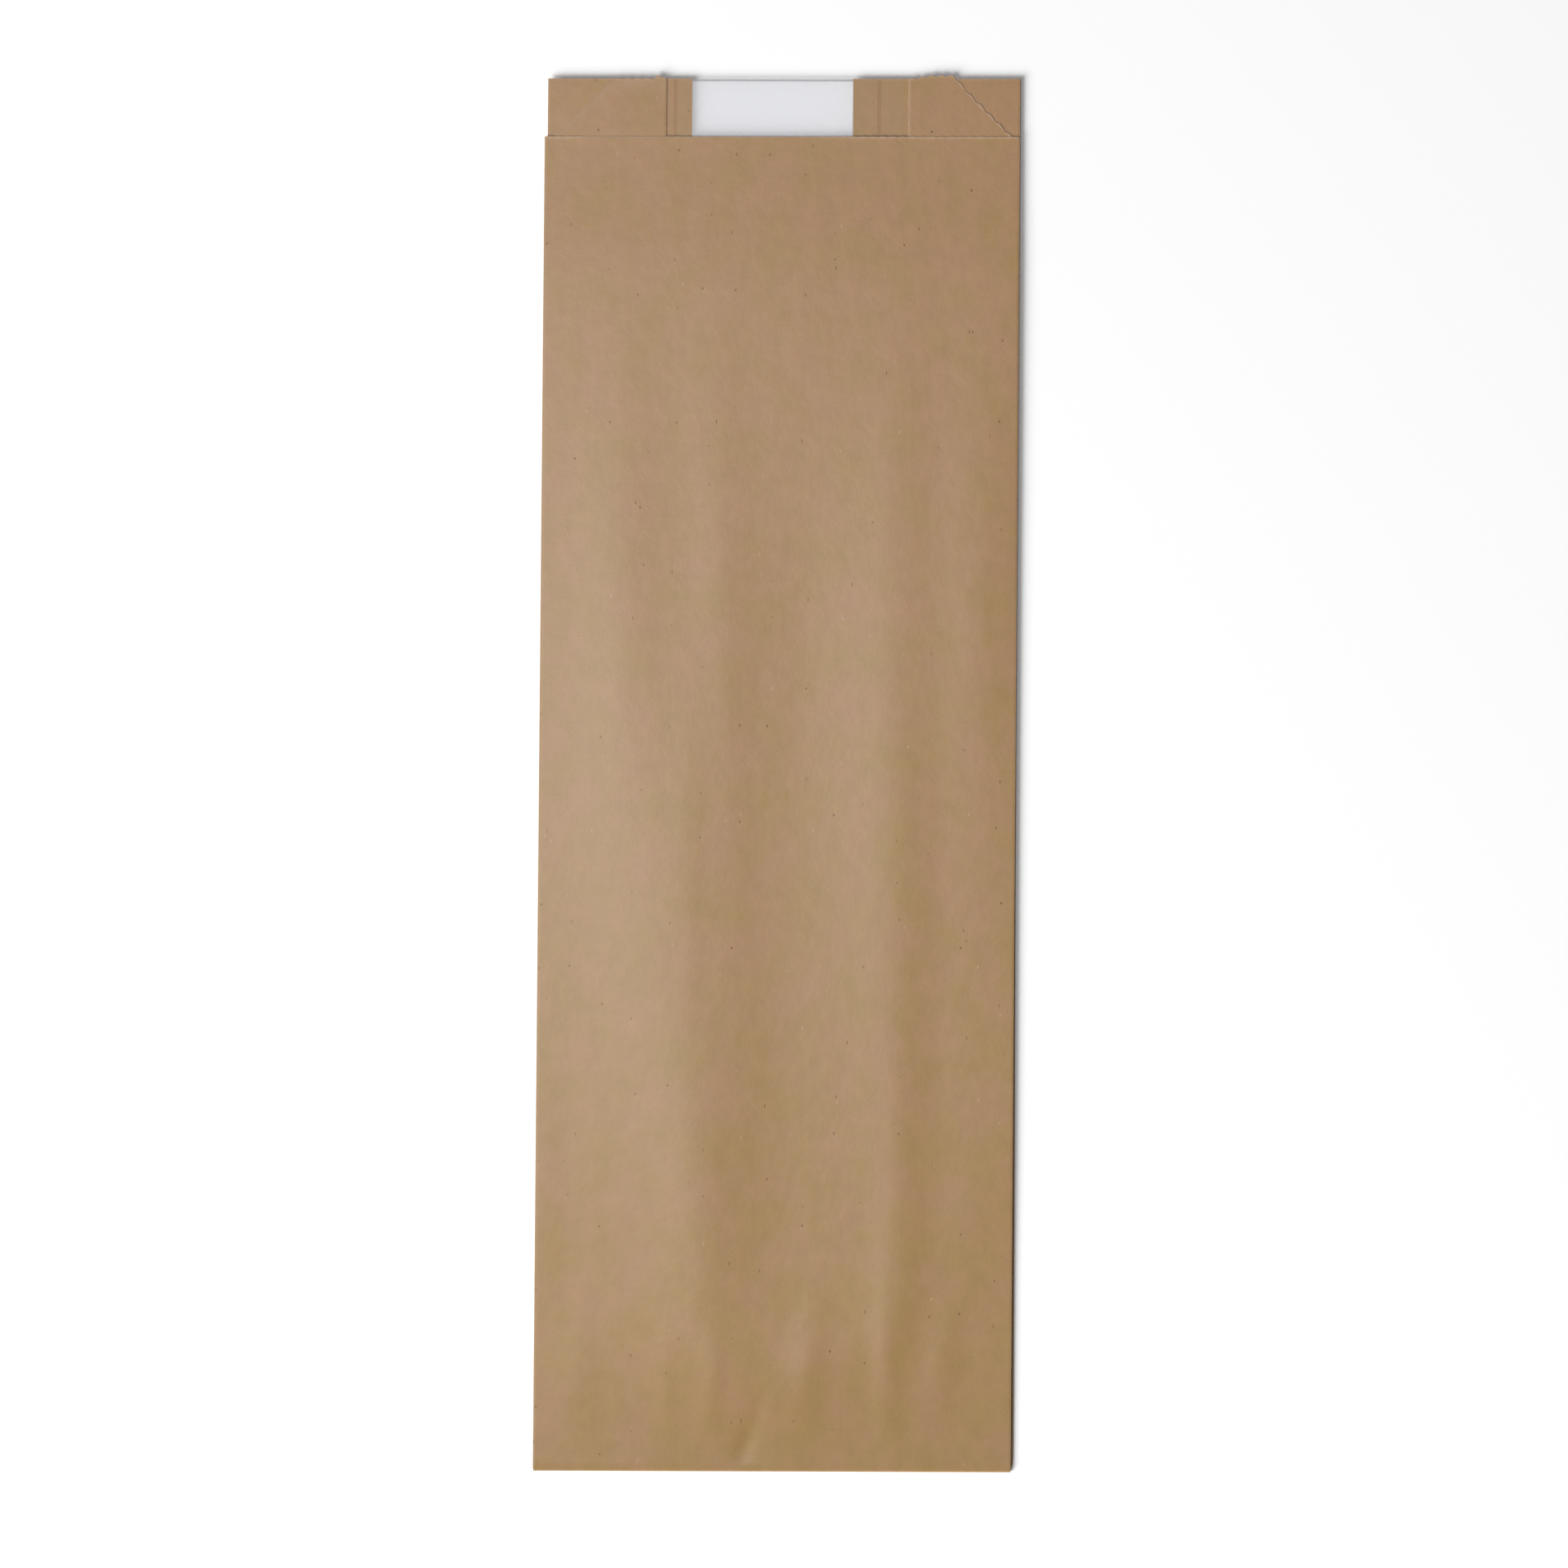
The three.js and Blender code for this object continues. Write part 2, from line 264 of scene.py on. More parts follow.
def back_burr(x):
    """The burr of the back's cut edge, which turns up at its left end and on the right, and a little down
    in between."""
    middle = BACK_BURR["middle"]
    left = (BACK_BURR["left"] - middle) * (1 - smoothstep(*BACK_BURR_LEFT, x))
    right = (BACK_BURR["right"] - middle) * smoothstep(*BACK_BURR_RIGHT, x)
    return float(middle + left + right)


def gusset_tip(name, x):
    """How far the gusset's top edge stands past the front's: in a spike beside its inner fold on the left,
    and in a low, flat hump beside the slanting cut on the right."""
    if name == "right":
        return TIP * math.exp(-(((x - RIGHT_TIP["middle"]) / RIGHT_TIP["spread"]) ** 4))
    climb = smoothstep(LEFT_TIP["from"], LEFT_TIP["at"], x)
    return TIP * climb * (1 - smoothstep(LEFT_TIP["at"], LEFT_TIP["to"], x))


def side_columns(name):
    """The flat columns of one side: the front's strip, and the gusset's way in and its way out again."""
    side = -1 if name == "left" else 1
    front_fold = side * (HALF - FRONT_INSET[name] - PAPER / 2 - FOLD_RADIUS)
    back_fold = side * (HALF - PAPER / 2 - FOLD_RADIUS)
    inner_fold = side * (HALF - GUSSET_DEPTH[name] + FOLD_RADIUS)
    depth = HALF - abs(inner_fold)

    def share(x):
        """How far in a point is: 0 at the bag's side, and 1 at the gusset's inner fold."""
        return float(np.clip((HALF - abs(x)) / depth, 0, 1))

    def slant(x):
        """Where the gusset's upper layer is cut: in line with the back at the bag's side, then climbing at
        45 degrees to the front's cut and its own tip."""
        climb = np.clip((HALF - abs(x) - DIAGONAL_START[name]) / LIP, 0, 1)
        return float(mix(BACK_END, FRONT_END + gusset_tip(name, x), climb))

    cut = {"teeth": SLANT_TEETH[name], "burr": SLANT_BURR[name], "wear_and_highlight": SLANT_WEAR_AND_HIGHLIGHT[name]}
    front_xs = stations(WINDOW[name], front_fold)
    out_xs = stations(inner_fold, back_fold)
    front = [Column(x, 0, 0.0, (0, -1), FRONT_END, burr=FRONT_BURR) for x in front_xs]
    inwards = [Column(x, 1, share(x) / 2, (0, 1), FRONT_END) for x in stations(front_fold, inner_fold)]
    outwards = [Column(x, 2, 1 - share(x) / 2, (0, -1), slant(x), **cut) for x in out_xs]
    inwards[0].lift = 0.0
    outwards[-1].lift = 1.0
    if name == "right":
        for column in front:
            column.spread = (column.x - WINDOW[name]) / (front_fold - WINDOW[name])
        for column in inwards:
            column.spread = (column.x - inner_fold) / (front_fold - inner_fold)
    return front, inwards, outwards


def half_web(name):
    """The web from the window's edge to the fold at the edge of the back."""
    side = -1 if name == "left" else 1
    front, inwards, outwards = side_columns(name)
    back_edge = Column(outwards[-1].x, 3, 1.0, (0, 1), BACK_END)
    return (
        front
        + fold_columns(front[-1], inwards[0], side, 1)
        + inwards
        + fold_columns(inwards[-1], outwards[0], -side, -1)
        + outwards
        + fold_columns(outwards[-1], back_edge, side, 1)
    )


def back_columns():
    """The columns of the back, from its left side fold to its right one."""
    edge = HALF - PAPER / 2 - FOLD_RADIUS
    xs = stations(-edge, edge)
    return [Column(x, 3, 1.0, (0, 1), BACK_END, wraps=True, burr=back_burr(x)) for x in xs]


# ---------------------------------------------------------------- its rows, and the points where they meet

FLAP_ROWS = 4  # along the flap
WRAP_STEPS = 8  # round the bottom fold
CLOSE_ROW = 3.0  # from row to row near the bottom fold
CLOSE_TO = 60.0  # along: where those rows end
WIDER_ROWS = 46  # from there to MOUTH_BASE
MOUTH_BASE = 440.0  # along: rows below it run straight across, and those above follow the cut
MOUTH_SHARES = [0.3, 0.6, 0.8]  # where more rows lie, as shares of the way from there to the cut
LAST_ROWS = [2 * CURL, CURL, CURL / 2, 0.0]  # how far the last rows are from the cut
WRAP_PATTERN = 3.0  # how much further than the flap's length the pattern runs, to go round the bottom fold


def body_alongs():
    """Where the straight rows lie along the bag: closer together near the creased bottom fold."""
    close_rows = np.arange(CLOSE_ROW, CLOSE_TO, CLOSE_ROW)
    wider_rows = np.linspace(CLOSE_TO, MOUTH_BASE, WIDER_ROWS)
    return np.concatenate([[BODY_START], close_rows, wider_rows])


def tooth(web):
    """The zigzag of a cut edge, from 0 to 1, by how far along the web it is."""
    turn = web / SERRATION_PITCH
    return np.abs(2 * (turn - np.floor(turn)) - 1)


def rows_along(field, web):
    """Where each column's rows lie along the bag: the last one follows the teeth of its cut."""
    low_rows = body_alongs()
    fixed = np.broadcast_to(low_rows, (len(web), len(low_rows)))
    cut = mix(MOUTH_BASE, field["end"], np.array(MOUTH_SHARES)[None, :])
    last = field["end"] - np.array(LAST_ROWS)[None, :]
    last[:, -1:] += field["teeth"] * (tooth(web) - 0.5)
    return np.concatenate([fixed, cut, last], axis=1)


def sheet_faces(columns, thickness, above=0.0):
    """The points of a sheet's outer and inner faces, each by column and row, and the web's own coordinates.
    above is how far the whole sheet lies above the height of its layers."""
    keys = ("x", "level", "lift", "end", "teeth", "burr", "spread")
    field = {key: np.array([getattr(c, key) for c in columns], float)[:, None] for key in keys}
    outer = np.array([c.outer for c in columns], float)
    fold = np.array([c.fold for c in columns], float)
    flat = field["x"] + fold[:, :1]
    steps = np.hypot(np.diff(flat[:, 0]), np.diff(fold[:, 1]))
    web = np.concatenate([[0.0], np.cumsum(steps)])[:, None]
    along = rows_along(field, web)

    pressed = mix(1, PRESSED, smoothstep(PRESSED_FROM, PRESSED_TO, along))
    height = front_height(along) + above + pressed * (field["level"] * LAYER_STEP + fold[:, 1:])
    height = height + field["lift"] * free_play(field["x"], along)
    turned_up = np.clip(1 - (field["end"] - along) / CURL, 0, 1) ** 2
    height = height + field["burr"] * turned_up * (BURR_BETWEEN + tooth(web))

    out_from, out_to = smoothstep(0, OVERHANG_FROM, along), smoothstep(OVERHANG_FROM, OVERHANG_TO, along)
    across = flat + field["spread"] * OVERHANG * out_from * (1 - out_to)
    middle = np.stack([across, along, height], axis=-1)
    out = np.stack([outer[:, 0], np.zeros(len(columns)), outer[:, 1]], axis=-1)
    offset = out[:, None, :] * thickness / 2
    return (middle + offset, middle - offset), np.broadcast_to(web, along.shape), along


def wrap_faces(columns):
    """The same for the rows of the flap and of the bottom fold."""
    x = np.array([c.x for c in columns])
    faces = []
    for side in (1, -1):
        radius = WRAP_RADIUS + side * PAPER / 2
        rows = []
        for along in np.linspace(FLAP_LENGTH, BODY_START, FLAP_ROWS + 1)[:-1]:
            rows.append((along, PAPER / 2 - side * PAPER / 2))
        for step in range(WRAP_STEPS):
            angle = math.pi * (step / WRAP_STEPS - 0.5)
            height = PAPER / 2 + WRAP_RADIUS + radius * math.sin(angle)
            rows.append((BODY_START - radius * math.cos(angle), height))
        grid = np.zeros((len(x), len(rows), 3))
        grid[:, :, 0] = x[:, None]
        grid[:, :, 1:] = np.array(rows)[None, :, :]
        faces.append(grid)
    turned = np.linspace(-FLAP_LENGTH - WRAP_PATTERN, 0, FLAP_ROWS + WRAP_STEPS)
    return faces, np.broadcast_to(turned, faces[0].shape[:2])


def off_square(points):
    """Shears the bag's points, as neither its bottom fold nor its cut mouth is quite square to its sides,
    widens it towards the bottom, and moves the origin to its middle."""
    share = points[:, 1] / BAG_LENGTH
    slope = np.tan(np.radians(mix(OFF_SQUARE["bottom"], OFF_SQUARE["mouth"], share)))
    x = points[:, 0] * (1 + TAPER * (1 - share))
    return np.stack([x, points[:, 1] - BAG_LENGTH / 2 + x * slope, points[:, 2]], axis=-1)


# ---------------------------------------------------------------- meshes

INNER_FACE_SHIFT = 700.0  # moves the pattern of a sheet's inner face away from that of its outer face
SHARP_ANGLE = 50.0  # degrees between two faces, from which the edge between them is sharp
WRAP_WEAR = 0.1  # how scuffed the bottom fold is
CUT_WEAR_AND_HIGHLIGHT = [0.5, 1.0]  # and the last rows at the cut, where the paleness is partly scuffed fibres and partly a painted highlight on the lit edge
FOLD_WEAR = 1.0  # and the folds that run along the bag
BESIDE_FOLD_WEAR = 0.2  # and the columns beside them


def sheet_quads(covered, kinds):
    """The faces of a closed sheet over the covered cells, with a wall wherever such a cell has no
    neighbour, and the material of each face. A sheet's points are numbered by side, column and row."""
    columns, rows = covered.shape[0] + 1, covered.shape[1] + 1
    a, b = np.arange(2 * columns * rows).reshape(2, columns, rows)
    quads = []
    marks = []
    for i, j in np.argwhere(covered):
        before = len(quads)
        quads.append((a[i, j], a[i + 1, j], a[i + 1, j + 1], a[i, j + 1]))
        quads.append((b[i, j], b[i, j + 1], b[i + 1, j + 1], b[i + 1, j]))
        if i == 0 or not covered[i - 1, j]:
            quads.append((b[i, j], a[i, j], a[i, j + 1], b[i, j + 1]))
        if i == columns - 2 or not covered[i + 1, j]:
            quads.append((a[i + 1, j], b[i + 1, j], b[i + 1, j + 1], a[i + 1, j + 1]))
        if j == 0 or not covered[i, j - 1]:
            quads.append((a[i, j], b[i, j], b[i + 1, j], a[i + 1, j]))
        if j == rows - 2 or not covered[i, j + 1]:
            quads.append((b[i, j + 1], a[i, j + 1], a[i + 1, j + 1], b[i + 1, j + 1]))
        marks += [kinds[i, j]] * (len(quads) - before)
    return np.array(quads), np.array(marks, np.int32)


def closed_mesh(name, outer, inner, covered, uv, wear_and_highlight, kinds):
    """A closed mesh from the points of a sheet's two sides. How pale each point is painted comes from
    scuffs and, at the cuts, partly from a painted highlight, and kinds gives each cell's material."""
    quads, marks = sheet_quads(covered, kinds)
    used, packed = np.unique(quads, return_inverse=True)
    points = off_square(np.concatenate([outer.reshape(-1, 3), inner.reshape(-1, 3)])[used])
    both_uv = np.concatenate([uv.reshape(-1, 2), uv.reshape(-1, 2) + INNER_FACE_SHIFT])[used] * MM
    both_wear_and_highlight = np.tile(wear_and_highlight.ravel(), 2)[used]

    mesh = bpy.data.meshes.new(name)
    mesh.from_pydata((points * MM).tolist(), [], packed.reshape(-1, 4).tolist())
    mesh.uv_layers.new(name="web").data.foreach_set("uv", both_uv[packed.ravel()].ravel())
    mesh.attributes.new("wear_and_highlight", "FLOAT", "POINT").data.foreach_set("value", both_wear_and_highlight)
    mesh.polygons.foreach_set("material_index", marks)
    mesh.shade_smooth()
    mesh.set_sharp_from_angle(angle=math.radians(SHARP_ANGLE))
    mesh.validate()
    piece = bpy.data.objects.new(name, mesh)
    bpy.context.scene.collection.objects.link(piece)
    return piece


def wear_and_cut_highlights(columns, row_count):
    """How pale the paper is painted: scuffed most on the folds and at the cut mouth, and a little beside
    them. At the cuts the paleness is partly a painted highlight.
    """
    folded = np.array([c.fold != (0.0, 0.0) for c in columns], float)
    beside = np.maximum(np.roll(folded, 1), np.roll(folded, -1))
    by_column = np.maximum(FOLD_WEAR * folded, BESIDE_FOLD_WEAR * beside)[:, None]
    wear_and_highlight = np.broadcast_to(by_column, (len(columns), row_count)).copy()
    wear_and_highlight[:, FLAP_ROWS : FLAP_ROWS + WRAP_STEPS + 1] = WRAP_WEAR
    wear_and_highlight[:, -len(CUT_WEAR_AND_HIGHLIGHT) :] = np.maximum(wear_and_highlight[:, -len(CUT_WEAR_AND_HIGHLIGHT) :], CUT_WEAR_AND_HIGHLIGHT)
    band = np.array([c.wear_and_highlight for c in columns])[:, None]
    wear_and_highlight[:, -len(LAST_ROWS) :] = np.maximum(wear_and_highlight[:, -len(LAST_ROWS) :], band)
    return wear_and_highlight


def paper_sheet():
    """The bag's one sheet of paper, from the window's left edge round to its right edge."""
    columns = half_web("left") + back_columns() + half_web("right")[::-1]
    body, web, along = sheet_faces(columns, PAPER)
    wrapped, turned = wrap_faces(columns)
    outer, inner = (np.concatenate([wrapped[k], body[k]], axis=1) for k in (0, 1))
    turned_rows = turned.shape[1]
    web_all = np.concatenate([web[:, :1].repeat(turned_rows, 1), web], axis=1)
    uv = np.stack([web_all, np.concatenate([turned, along], axis=1)], axis=-1)

    covered = np.ones((len(columns) - 1, outer.shape[1] - 1), bool)
    wraps = np.array([c.wraps for c in columns])
    covered[:, :turned_rows] = (wraps[:-1] & wraps[1:])[:, None]
    wear_and_highlight = wear_and_cut_highlights(columns, outer.shape[1])
    return closed_mesh("kraft_sheet", outer, inner, covered, uv, wear_and_highlight, np.zeros(covered.shape, int))


# ---------------------------------------------------------------- colours and patterns

PAPER_PINK = (0.379, 0.213, 0.103, 1)
PAPER_OLIVE = (0.350, 0.212, 0.076, 1)
# the pale colour of scuffed paper, also used for the painted highlight along the cut edges
PAPER_WORN_AND_HIGHLIT = (0.43, 0.30, 0.20, 1)
OLIVE_DRIFT = 0.25  # how much more olive the paper is at the bottom, and less at the mouth
MOTTLE = 0.04  # by which share blotches lighten and darken the paper
RIBS = 0.010  # and faint streaks along it
GRAIN = 0.03  # and its fine grain
PAINTED_SHADE_FROM = 45.0  # along: where the shade painted in towards the bottom fold begins
PAINTED_SHADE_AT_FOLD = 0.94  # share of the paper's brightness that this painted shade leaves at the fold

SPECK_PALE = (0.58, 0.44, 0.31, 1)
SPECK_DARK = (0.17, 0.075, 0.02, 1)
PALE_STRENGTH = 0.55  # how much of their colour the pale fibres show
FAINTEST_SPECK = 0.25  # strength of the faintest speck of a kind, where the strongest has 1
SPECK_CORE = 0.4  # share of a speck's width that has its full strength
PALE_FIBRES = [
    {"cell": 11, "half_width": 0.26, "half_length": 0.8, "share": 0.20, "turn": 0, "shift": (3.1, 5.27)},
    {"cell": 14, "half_width": 0.24, "half_length": 0.8, "share": 0.20, "turn": 90, "shift": (7.7, 13.09)},
]
DARK_SPECKS = [
    {"cell": 11, "half_width": 0.44, "half_length": 0.6, "share": 0.28, "turn": 0, "shift": (11.3, 19.21)},
    {"cell": 14, "half_width": 0.26, "half_length": 0.9, "share": 0.40, "turn": 75, "shift": (5.9, 10.03)},
]

# Sizes of the noises: how many times they vary in a metre, across and along.
TINT_NOISE = (70, 60)
STREAK_NOISE = (230, 30)
BLOTCH_NOISE = (170, 150)
GRAIN_NOISE = (1300, 1100)
RIPPLE_NOISE = (40, 12)
# Most values of a noise lie in these ranges. The narrower the range, the harder the pattern that uses it.
SOFT_RANGE = (0.2, 0.8)
MIDDLE_RANGE = (0.25, 0.75)
HARD_RANGE = (0.3, 0.7)

WEAR_AND_HIGHLIGHT_SHOW = (0.35, 0.9)  # how much of the scuffs and painted highlights shows, as the blotches vary it
PAPER_ROUGHNESS = (0.30, 0.35)  # as the grain varies it
WORN_ROUGHER = 0.25  # what the scuffs and painted highlights add to it
PAPER_SPECULAR = 0.64
COCKLE = 0.04  # height of the paper's cockles
FIBRE_RELIEF = 0.04  # and of its grain and fibres
FIBRE_STRENGTH = 0.3  # how much of that relief shows

FILM_GREY = (0.835, 0.838, 0.878, 1)
GLUED_HAZE = (0.60, 0.50, 0.30, 1)
GLUE_BROWN = (0.26, 0.15, 0.07, 1)
# painted shade: the darker grey of the film's cut edge and its shadow
FILM_EDGE_SHADE_GREY = (0.42, 0.42, 0.43, 1)
FILM_KINDS = {  # the film's materials: colour, how solid it looks, and roughness
    "clear_film": (FILM_GREY, 0.30, 0.08),
    "glued_film": (GLUED_HAZE, 0.05, 0.16),
    "glue": (GLUE_BROWN, 0.05, 0.3),
    "film_edge_shade": (FILM_EDGE_SHADE_GREY, 0.45, 0.2),
}
FILM_EDGE_SHADE_ROWS = 2  # rows of the clear film at its cut that get the painted shade of its edge
FILM_RIPPLE = 0.05  # height of the film's ripples
FILM_ROUGHER = 0.05  # how much rougher it is on some of them


def film_kind(x):
    """Which of the film's materials it has at a point across."""
    if any(start < x < stop for start, stop in GLUE_LINES.values()):
        return "glue"
    return "clear_film" if WINDOW["left"] < x < WINDOW["right"] else "glued_film"


def film_strip():
    """The film, from its right edge to its left one, with a material for each strip of it."""
    left, right = film_low.x / MM, film_high.x / MM
    marks = {left, right, *WINDOW.values(), *GLUE_LINES["left"], *GLUE_LINES["right"]}
    xs = stations(*sorted((x for x in marks if left <= x <= right), reverse=True))
    columns = [Column(x, 0, 0.0, (0, -1), FILM_END, teeth=0.0) for x in xs]
    (outer, inner), web, along = sheet_faces(columns, FILM, FILM_ABOVE)
    covered = np.ones((len(columns) - 1, along.shape[1] - 1), bool)
    number = {kind: index for index, kind in enumerate(FILM_KINDS)}
    kinds = np.zeros(covered.shape, int)
    for i, (x, next_x) in enumerate(zip(xs, xs[1:])):
        kind = film_kind((x + next_x) / 2)
        kinds[i] = number[kind]
        if kind == "clear_film":
            kinds[i, -FILM_EDGE_SHADE_ROWS:] = number["film_edge_shade"]
    return closed_mesh("film_strip", outer, inner, covered, np.stack([web, along], -1), 0 * along, kinds)


# ---------------------------------------------------------------- materials


class Nodes:
    """Short calls for building a material's node tree."""

    def __init__(self, name):
        self.material = bpy.data.materials.new(name)
        self.material.use_nodes = True
        self.tree = self.material.node_tree
        self.shader = self.tree.nodes["Principled BSDF"]

    def link(self, source, target):
        self.tree.links.new(source, target)

    def feed(self, value, target):
        """Links a socket to a node's input, or sets the input to a plain value."""
        if isinstance(value, bpy.types.NodeSocket):
            self.link(value, target)
        else:
            target.default_value = value

    def node(self, kind, inputs=None, **settings):
        made = self.tree.nodes.new(kind)
        for key, value in settings.items():
            setattr(made, key, value)
        for key, value in (inputs or {}).items():
            self.feed(value, made.inputs[key])
        return made

    def web(self, scale_u, scale_v, turn=0.0):
        """The web's coordinates, scaled. A scale of 1 is one unit for each metre."""
        uv = self.node("ShaderNodeUVMap", uv_map="web").outputs["UV"]
        values = {"Vector": uv, "Rotation": (0, 0, math.radians(turn)), "Scale": (scale_u, scale_v, 1)}
        return self.node("ShaderNodeMapping", values).outputs["Vector"]

    def noise(self, vector, detail=3.0, roughness=0.55):
        values = {"Vector": vector, "Scale": 1.0, "Detail": detail, "Roughness": roughness}
        return self.node("ShaderNodeTexNoise", values, noise_dimensions="2D").outputs["Fac"]

    def math(self, operation, first, second=0.0):
        return self.node("ShaderNodeMath", {0: first, 1: second}, operation=operation).outputs["Value"]

    def remap(self, value, low, high, new_low, new_high):
        values = {"Value": value, "From Min": low, "From Max": high, "To Min": new_low, "To Max": new_high}
        return self.node("ShaderNodeMapRange", values, clamp=True).outputs["Result"]

    def blend(self, factor, first, second, kind="MIX"):
        """A mix of two colours, which are the Mix node's inputs 6 and 7 and come out of its output 2."""
        made = self.node("ShaderNodeMix", data_type="RGBA", blend_type=kind)
        for key, value in ((0, factor), (6, first), (7, second)):
            self.feed(value, made.inputs[key])
        return made.outputs[2]

    def bump(self, height, distance, strength=1.0, normal=None):
        """A bumped normal. distance is the relief's height in millimetres."""
        values = {"Height": height, "Strength": strength, "Distance": distance * MM}
        if normal is not None:
            values["Normal"] = normal
        return self.node("ShaderNodeBump", values).outputs["Normal"]

    def specks(self, cell, half_width, half_length, share, turn, shift):
        """0 between sparse specks, and up to 1 inside them. cell is the mean distance between places for a
        speck, share is how many places have one, and shift is a number of cells across and along. Sizes are
        in millimetres."""
        vector = self.web(1 / (cell * MM), half_width / half_length / (cell * MM), turn)
        moved = self.node("ShaderNodeVectorMath", {0: vector, 1: (*shift, 0)}, operation="ADD")
        values = {"Vector": moved.outputs["Vector"], "Scale": 1.0, "Randomness": 1.0}
        cells = self.node("ShaderNodeTexVoronoi", values, voronoi_dimensions="2D")
        size = half_width / cell
        inside = self.remap(cells.outputs["Distance"], size * SPECK_CORE, size, 1.0, 0.0)
        chance = self.node("ShaderNodeSeparateColor", {0: cells.outputs["Color"]})
        strength = self.remap(chance.outputs[1], 0.0, 1.0, FAINTEST_SPECK, 1.0)
        chosen = self.math("LESS_THAN", chance.outputs[0], share)
        return self.math("MULTIPLY", self.math("MULTIPLY", inside, strength), chosen)


def paper_tone(m, blotches, grain):
    """The colour of the paper without its specks: pinker towards the mouth, mottled and streaked, with
    painted shade near the bottom.
    """
    tint = m.noise(m.web(*TINT_NOISE))
    streaks = m.noise(m.web(*STREAK_NOISE), detail=2.0)
    along = m.node("ShaderNodeSeparateXYZ", {0: m.web(1, 1)}).outputs["Y"]
    drift = m.remap(along, 0.0, BAG_LENGTH * MM, OLIVE_DRIFT, -OLIVE_DRIFT)
    olive = m.math("ADD", m.remap(tint, *HARD_RANGE, 0.0, 1.0), drift)
    mottle = m.remap(blotches, *MIDDLE_RANGE, 1 - MOTTLE, 1 + MOTTLE)
    ribs = m.remap(streaks, *MIDDLE_RANGE, -RIBS, RIBS)
    shade = m.math("ADD", m.math("ADD", mottle, ribs), m.remap(grain, *MIDDLE_RANGE, -GRAIN, GRAIN))
    # painted shade: the paper darkens towards the bottom fold
    shade = m.math("MULTIPLY", shade, m.remap(along, 0.0, PAINTED_SHADE_FROM * MM, PAINTED_SHADE_AT_FOLD, 1.0))
    grey = m.node("ShaderNodeCombineColor", {0: shade, 1: shade, 2: shade}).outputs[0]
    return m.blend(1.0, m.blend(olive, PAPER_PINK, PAPER_OLIVE), grey, "MULTIPLY")


def kraft_paper():
    m = Nodes("kraft_paper")
    blotches = m.noise(m.web(*BLOTCH_NOISE), roughness=0.6)
    grain = m.noise(m.web(*GRAIN_NOISE), roughness=0.7)
    pale = m.math("MAXIMUM", *(m.specks(**kind) for kind in PALE_FIBRES))
    dark = m.math("MAXIMUM", *(m.specks(**kind) for kind in DARK_SPECKS))
    # scuffs, and along the cut edges a painted highlight, make the paper paler
    wear_and_highlight_input = m.node("ShaderNodeAttribute", attribute_name="wear_and_highlight").outputs["Fac"]
    shown_wear_and_highlight = m.math("MULTIPLY", wear_and_highlight_input, m.remap(blotches, *HARD_RANGE, *WEAR_AND_HIGHLIGHT_SHOW))

    colour = m.blend(m.math("MULTIPLY", pale, PALE_STRENGTH), paper_tone(m, blotches, grain), SPECK_PALE)
    colour = m.blend(dark, colour, SPECK_DARK)
    m.link(m.blend(shown_wear_and_highlight, colour, PAPER_WORN_AND_HIGHLIT), m.shader.inputs["Base Color"])

    roughness = m.remap(grain, *SOFT_RANGE, *PAPER_ROUGHNESS)
    rougher = m.math("MULTIPLY", shown_wear_and_highlight, WORN_ROUGHER)
    m.link(m.math("ADD", roughness, rougher), m.shader.inputs["Roughness"])
    m.shader.inputs["Specular IOR Level"].default_value = PAPER_SPECULAR

    specks = m.math("MAXIMUM", pale, dark)
    fibres = m.math("DIVIDE", m.math("ADD", grain, specks), 2)
    relief = m.bump(fibres, FIBRE_RELIEF, FIBRE_STRENGTH, normal=m.bump(blotches, COCKLE))
    m.link(relief, m.shader.inputs["Normal"])
    return m.material


def film_material(name, colour, alpha, roughness):
    m = Nodes(name)
    m.shader.inputs["Base Color"].default_value = colour
    m.shader.inputs["Alpha"].default_value = alpha
    ripple = m.noise(m.web(*RIPPLE_NOISE), detail=2.0)
    rougher = m.remap(ripple, *HARD_RANGE, roughness, roughness + FILM_ROUGHER)
    m.link(rougher, m.shader.inputs["Roughness"])
    m.link(m.bump(ripple, FILM_RIPPLE), m.shader.inputs["Normal"])
    return m.material


def floor_material():
    m = Nodes("white_floor")
    m.shader.inputs["Base Color"].default_value = (FLOOR_WHITE, FLOOR_WHITE, FLOOR_WHITE, 1)
    m.shader.inputs["Roughness"].default_value = 0.9
    m.shader.inputs["Specular IOR Level"].default_value = 0.0
    m.shader.inputs["Emission Color"].default_value = (1, 1, 1, 1)
    m.shader.inputs["Emission Strength"].default_value = FLOOR_GLOW
    return m.material


# ---------------------------------------------------------------- stage, lights and camera

FLOOR_WHITE = 0.99
FLOOR_GLOW = 0.06  # lifts the floor to the photo's plain white
FLOOR_DROP = 0.03  # how far it lies under the bag
FLOOR_SIZE = 6.0  # metres
WORLD_LIGHT = 0.07

PHOTO_SIDE = 1920.0  # pixels
BACK_PIXELS = 581.6  # width of the bag's back in the photo
MM_PER_PIXEL = BAG_WIDTH / BACK_PIXELS
BAG_CENTRE_PIXEL = (951.8, 947.5)  # middle of the bag in the photo
ROLL = 0.46  # degrees by which the bag's mouth leans to the right in the photo
CAMERA_HEIGHT = 3.0  # metres
CAMERA_REACH = 20.0  # metres
SENSOR = 36.0  # width of the camera's sensor


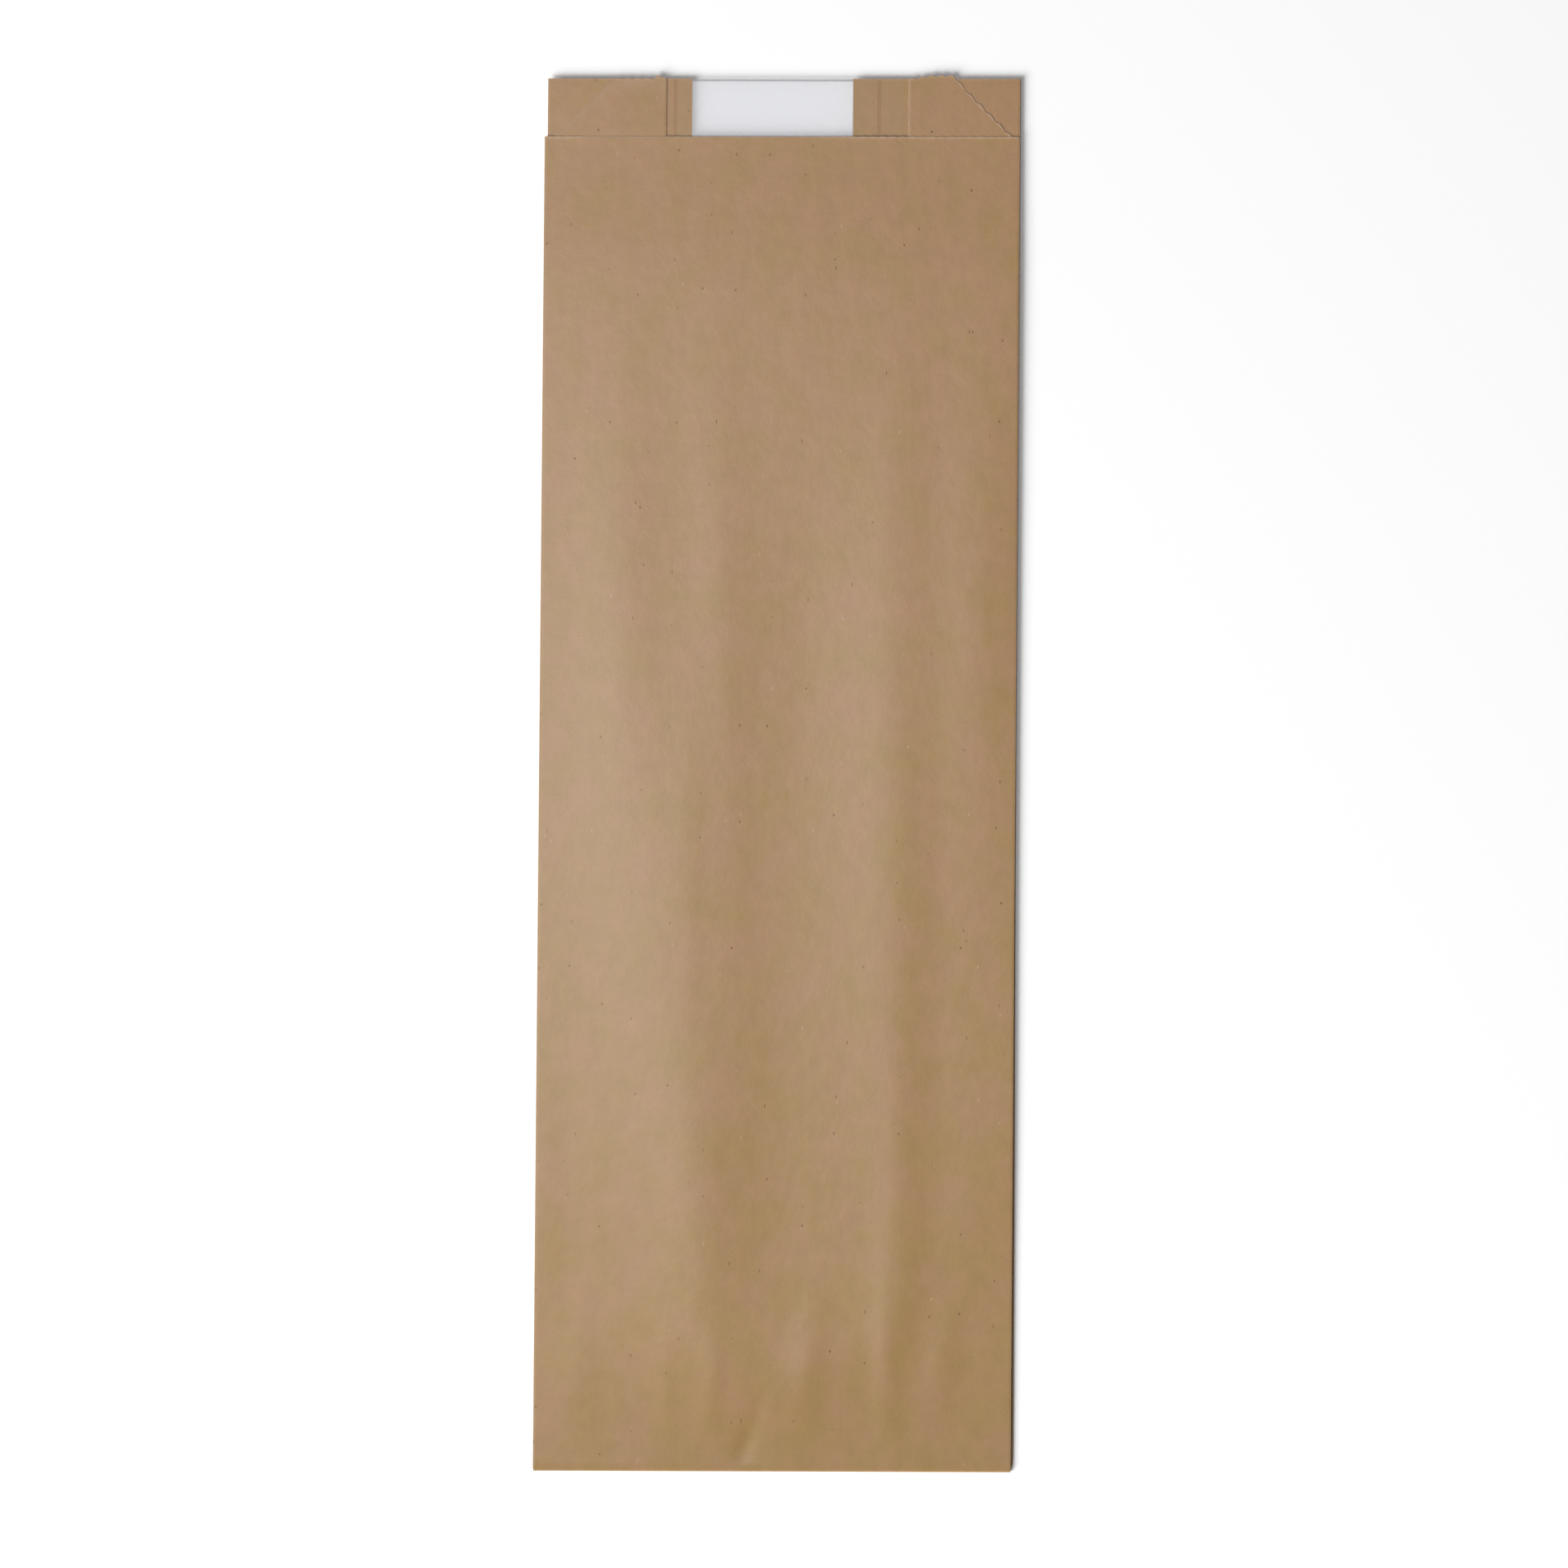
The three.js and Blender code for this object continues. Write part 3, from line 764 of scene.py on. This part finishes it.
@dataclass
class Softbox:
    """A square area light, aimed at the middle of the bag. azimuth is anticlockwise from +X, and both
    angles are in degrees. distance and size are in metres, and share is the light it gives on the floor,
    where 1 is full white."""

    name: str
    azimuth: float
    elevation: float
    distance: float
    size: float
    share: float

    def direction(self):
        azimuth, elevation = math.radians(self.azimuth), math.radians(self.elevation)
        flat = math.cos(elevation)
        return Vector((flat * math.cos(azimuth), flat * math.sin(azimuth), math.sin(elevation)))

    def power(self):
        return self.share * (math.pi * self.distance) ** 2 / math.sin(math.radians(self.elevation))


SOFTBOXES = [
    # Low, from the left: the shading, and the shadow on the right.
    Softbox("key", azimuth=221, elevation=33, distance=6.0, size=3.8, share=0.87),
    # Its soft gloss shows the ridges.
    Softbox("overhead", azimuth=177, elevation=81.5, distance=2.4, size=0.5, share=0.155),
]


def make_floor():
    mesh = bpy.data.meshes.new("floor")
    half = FLOOR_SIZE / 2
    corners = [(-half, -half), (half, -half), (half, half), (-half, half)]
    mesh.from_pydata([(x, y, -FLOOR_DROP * MM) for x, y in corners], [], [(0, 1, 2, 3)])
    floor = bpy.data.objects.new("floor", mesh)
    bpy.context.scene.collection.objects.link(floor)
    mesh.materials.append(floor_material())


def make_lights():
    for softbox in SOFTBOXES:
        data = bpy.data.lights.new(softbox.name, "AREA")
        data.shape = "SQUARE"
        data.size = softbox.size
        data.energy = softbox.power()
        light = bpy.data.objects.new(softbox.name, data)
        light.location = softbox.direction() * softbox.distance
        light.rotation_euler = softbox.direction().to_track_quat("Z", "Y").to_euler()
        bpy.context.scene.collection.objects.link(light)
    world = bpy.data.worlds.new("studio")
    world.use_nodes = True
    world.node_tree.nodes["Background"].inputs["Color"].default_value = (1, 1, 1, 1)
    world.node_tree.nodes["Background"].inputs["Strength"].default_value = WORLD_LIGHT
    bpy.context.scene.world = world


def make_camera():
    right = (PHOTO_SIDE / 2 - BAG_CENTRE_PIXEL[0]) * MM_PER_PIXEL * MM
    up = (BAG_CENTRE_PIXEL[1] - PHOTO_SIDE / 2) * MM_PER_PIXEL * MM
    data = bpy.data.cameras.new("camera")
    data.sensor_width = SENSOR
    data.lens = SENSOR * CAMERA_HEIGHT / (PHOTO_SIDE * MM_PER_PIXEL * MM)
    data.clip_end = CAMERA_REACH
    camera = bpy.data.objects.new("camera", data)
    turn = Matrix.Rotation(math.radians(ROLL), 4, "Z")
    camera.matrix_world = turn @ Matrix.Translation((right, up, CAMERA_HEIGHT))
    bpy.context.scene.collection.objects.link(camera)
    bpy.context.scene.camera = camera
    bpy.context.scene.view_settings.view_transform = "Standard"


# ---------------------------------------------------------------- making it

make_camera()
make_floor()
make_lights()

paper = paper_sheet()
paper.data.materials.append(kraft_paper())
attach(paper, "root")
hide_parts("paper_bag")

film = film_strip()
for kind, looks in FILM_KINDS.items():
    film.data.materials.append(film_material(kind, *looks))
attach(film, "root")
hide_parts("window_film")
